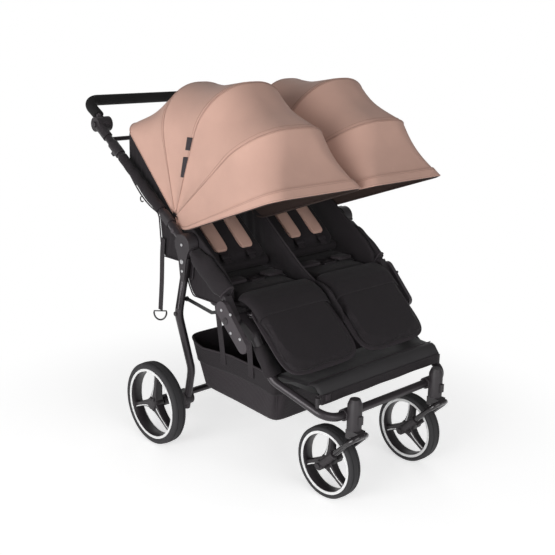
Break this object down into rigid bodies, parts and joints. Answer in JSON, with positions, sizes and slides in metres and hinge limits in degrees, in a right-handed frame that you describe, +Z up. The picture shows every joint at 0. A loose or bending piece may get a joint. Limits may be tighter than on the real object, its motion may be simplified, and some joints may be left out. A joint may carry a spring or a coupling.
{
  "type": "stroller.double_side_by_side",
  "caption": "Side by side double stroller on a folding tube frame, with reclining seats, leg rests, folding hoods, swivel front casters, a basket and a tilting handle",
  "frame": {"origin": "On the floor under the middle of the length and width, in the unfolded pose.", "axes": "+X across to the right as seen from behind the handle, +Y to the handle, +Z up."},
  "size_m": [0.738, 1.1904, 1.1821],
  "materials": {
    "frame_paint": "satin charcoal paint on tube",
    "fork_gloss": "gloss black paint on tube",
    "joint_plastic": "fine-grained dark grey nylon",
    "rim_plastic": "dark grey moulded rim",
    "tyre_foam": "matte foam-filled tyre",
    "seat_cloth": "black woven polyester over foam",
    "hood_cloth": "dusty rose woven polyester",
    "footrest_leatherette": "dark coated cloth over a board",
    "grip_foam": "black foam grip",
    "link_metal": "black painted steel strap"
  },
  "bodies": {
    "front_frame": {"front_tube": "frame_paint", "seat_frame": "frame_paint", "front_knuckles": "joint_plastic", "hinge_covers": "joint_plastic", "caster_housings": "joint_plastic", "footrest": "footrest_leatherette", "footrest_bar": "joint_plastic", "seat_cushion_left": "seat_cloth", "seat_cushion_right": "seat_cloth", "buckle_left": "joint_plastic", "buckle_right": "joint_plastic", "basket": "seat_cloth"},
    "upper_frame": {"upper_tubes": "frame_paint", "back_frame": "frame_paint", "upper_knuckles": "joint_plastic", "leg_brackets": "joint_plastic", "handle_sockets": "joint_plastic", "canopy_clips": "joint_plastic", "seat_sides": "seat_cloth", "canopy_rear": "hood_cloth"},
    "rear_leg_frame": {"rear_legs": "frame_paint", "rear_feet": "joint_plastic"},
    "fold_link_pair": {"fold_links": "link_metal"},
    "handle": {"handle_tube": "frame_paint", "handle_foam": "grip_foam", "handle_hubs": "joint_plastic"},
    "release_collar_pair": {"release_collars": "joint_plastic"},
    "brake": {"brake_pedal": "joint_plastic"},
    "legrest_left": {"legrest_board_left": "joint_plastic", "legrest_pad_left": "seat_cloth"},
    "caster_left": {"fork_left": "fork_gloss", "fork_ends_left": "joint_plastic"},
    "front_wheel_left": {"front_rim_left": "rim_plastic", "front_tyre_left": "tyre_foam"},
    "rear_wheel_left": {"rear_rim_left": "rim_plastic", "rear_tyre_left": "tyre_foam"},
    "swivel_lock_left": {"swivel_lock_left": "joint_plastic"},
    "seat_back_left": {"backrest_left": "seat_cloth", "shoulder_straps_left": "hood_cloth"},
    "hood_front_left": {"canopy_front_left": "hood_cloth"},
    "hood_mid_left": {"canopy_mid_left": "hood_cloth"},
    "hood_back_left": {"canopy_back_left": "hood_cloth"},
    "handle_button_left": {"handle_button_left": "joint_plastic"},
    "buckle_button_left": {"buckle_button_left": "joint_plastic"},
    "legrest_right": {"legrest_board_right": "joint_plastic", "legrest_pad_right": "seat_cloth"},
    "caster_right": {"fork_right": "fork_gloss", "fork_ends_right": "joint_plastic"},
    "front_wheel_right": {"front_rim_right": "rim_plastic", "front_tyre_right": "tyre_foam"},
    "rear_wheel_right": {"rear_rim_right": "rim_plastic", "rear_tyre_right": "tyre_foam"},
    "swivel_lock_right": {"swivel_lock_right": "joint_plastic"},
    "seat_back_right": {"backrest_right": "seat_cloth", "shoulder_straps_right": "hood_cloth"},
    "hood_front_right": {"canopy_front_right": "hood_cloth"},
    "hood_mid_right": {"canopy_mid_right": "hood_cloth"},
    "hood_back_right": {"canopy_back_right": "hood_cloth"},
    "handle_button_right": {"handle_button_right": "joint_plastic"},
    "buckle_button_right": {"buckle_button_right": "joint_plastic"}
  },
  "joints": [
    {"name": "fold", "type": "hinge", "parent": "front_frame", "child": "upper_frame", "pos_m": [0, -0.21475, 0.516], "axis": [1, 0, 0], "range_deg": [0, 150], "deforming": ["seat_sides", "canopy_rear"]},
    {"name": "rear_leg_fold", "type": "hinge", "parent": "upper_frame", "child": "rear_leg_frame", "pos_m": [0, 0.00025, 0.648], "axis": [1, 0, 0], "range_deg": [-54, 0]},
    {"name": "fold_link_swing", "type": "hinge", "parent": "front_frame", "child": "fold_link_pair", "pos_m": [0, -0.15532, 0.52], "axis": [1, 0, 0], "range_deg": [0, 170.46]},
    {"name": "handle_tilt", "type": "hinge", "parent": "upper_frame", "child": "handle", "pos_m": [0, 0.46225, 1.016], "axis": [1, 0, 0], "range_deg": [-25, 45]},
    {"name": "collar_release", "type": "slide", "parent": "upper_frame", "child": "release_collar_pair", "axis": [0, 0.8239, 0.5667], "range_m": [0, 0.012], "stiffness_N_per_m": 600, "springref_m": -0.004},
    {"name": "brake_press", "type": "hinge", "parent": "rear_leg_frame", "child": "brake", "pos_m": [0, 0.19925, 0.128], "axis": [-1, 0, 0], "range_deg": [0, 20]},
    {"name": "legrest_raise_left", "type": "hinge", "parent": "front_frame", "child": "legrest_left", "pos_m": [-0.16, -0.24675, 0.52], "axis": [-1, 0, 0], "range_deg": [0, 25]},
    {"name": "recline_left", "type": "hinge", "parent": "upper_frame", "child": "seat_back_left", "pos_m": [-0.16, 0.00025, 0.596], "axis": [-1, 0, 0], "range_deg": [-20, 20]},
    {"name": "caster_swivel_left", "type": "hinge", "parent": "front_frame", "child": "caster_left", "pos_m": [-0.184, -0.55875, 0.243], "axis": [0, 0, 1], "continuous": true},
    {"name": "front_wheel_spin_left", "type": "hinge", "parent": "caster_left", "child": "front_wheel_left", "pos_m": [-0.184, -0.46575, 0.11], "axis": [1, 0, 0], "continuous": true},
    {"name": "rear_wheel_spin_left", "type": "hinge", "parent": "rear_leg_frame", "child": "rear_wheel_left", "pos_m": [-0.346, 0.16525, 0.137], "axis": [1, 0, 0], "continuous": true},
    {"name": "swivel_lock_slide_left", "type": "slide", "parent": "front_frame", "child": "swivel_lock_left", "axis": [0, 0, -1], "range_m": [0, 0.006]},
    {"name": "hood_close_left", "type": "hinge", "parent": "upper_frame", "child": "hood_front_left", "pos_m": [-0.1865, 0.09325, 0.76221], "axis": [-1, 0, 0], "range_deg": [0, 78], "deforming": ["canopy_front_left", "canopy_mid_left", "canopy_back_left"]},
    {"name": "hood_mid_close_left", "type": "hinge", "parent": "upper_frame", "child": "hood_mid_left", "pos_m": [-0.1865, 0.09325, 0.76221], "axis": [-1, 0, 0], "range_deg": [0, 54]},
    {"name": "hood_back_close_left", "type": "hinge", "parent": "upper_frame", "child": "hood_back_left", "pos_m": [-0.1865, 0.09325, 0.76221], "axis": [-1, 0, 0], "range_deg": [0, 26]},
    {"name": "handle_button_press_left", "type": "slide", "parent": "upper_frame", "child": "handle_button_left", "axis": [1, 0, 0], "range_m": [0, 0.003], "stiffness_N_per_m": 800, "springref_m": -0.002},
    {"name": "buckle_press_left", "type": "slide", "parent": "front_frame", "child": "buckle_button_left", "axis": [0, 0, -1], "range_m": [0, 0.0015], "stiffness_N_per_m": 800, "springref_m": -0.001},
    {"name": "legrest_raise_right", "type": "hinge", "parent": "front_frame", "child": "legrest_right", "pos_m": [0.16, -0.24675, 0.52], "axis": [-1, 0, 0], "range_deg": [0, 25]},
    {"name": "recline_right", "type": "hinge", "parent": "upper_frame", "child": "seat_back_right", "pos_m": [0.16, 0.00025, 0.596], "axis": [-1, 0, 0], "range_deg": [-20, 20]},
    {"name": "caster_swivel_right", "type": "hinge", "parent": "front_frame", "child": "caster_right", "pos_m": [0.184, -0.55875, 0.243], "axis": [0, 0, 1], "continuous": true},
    {"name": "front_wheel_spin_right", "type": "hinge", "parent": "caster_right", "child": "front_wheel_right", "pos_m": [0.184, -0.46575, 0.11], "axis": [1, 0, 0], "continuous": true},
    {"name": "rear_wheel_spin_right", "type": "hinge", "parent": "rear_leg_frame", "child": "rear_wheel_right", "pos_m": [0.346, 0.16525, 0.137], "axis": [1, 0, 0], "continuous": true},
    {"name": "swivel_lock_slide_right", "type": "slide", "parent": "front_frame", "child": "swivel_lock_right", "axis": [0, 0, -1], "range_m": [0, 0.006]},
    {"name": "hood_close_right", "type": "hinge", "parent": "upper_frame", "child": "hood_front_right", "pos_m": [0.1865, 0.09325, 0.76221], "axis": [-1, 0, 0], "range_deg": [0, 78], "deforming": ["canopy_front_right", "canopy_mid_right", "canopy_back_right"]},
    {"name": "hood_mid_close_right", "type": "hinge", "parent": "upper_frame", "child": "hood_mid_right", "pos_m": [0.1865, 0.09325, 0.76221], "axis": [-1, 0, 0], "range_deg": [0, 54]},
    {"name": "hood_back_close_right", "type": "hinge", "parent": "upper_frame", "child": "hood_back_right", "pos_m": [0.1865, 0.09325, 0.76221], "axis": [-1, 0, 0], "range_deg": [0, 26]},
    {"name": "handle_button_press_right", "type": "slide", "parent": "upper_frame", "child": "handle_button_right", "axis": [-1, 0, 0], "range_m": [0, 0.003], "stiffness_N_per_m": 800, "springref_m": -0.002},
    {"name": "buckle_press_right", "type": "slide", "parent": "front_frame", "child": "buckle_button_right", "axis": [0, 0, -1], "range_m": [0, 0.0015], "stiffness_N_per_m": 800, "springref_m": -0.001}
  ],
  "couplings": [
    {"joint": "rear_leg_fold", "follows": "fold", "ratio": -0.36},
    {"joint": "fold_link_swing", "follows": "fold", "ratio": 1.1363},
    {"joint": "hood_mid_close_left", "follows": "hood_close_left", "ratio": 0.69},
    {"joint": "hood_back_close_left", "follows": "hood_close_left", "ratio": 0.33},
    {"joint": "hood_mid_close_right", "follows": "hood_close_right", "ratio": 0.69},
    {"joint": "hood_back_close_right", "follows": "hood_close_right", "ratio": 0.33}
  ]
}
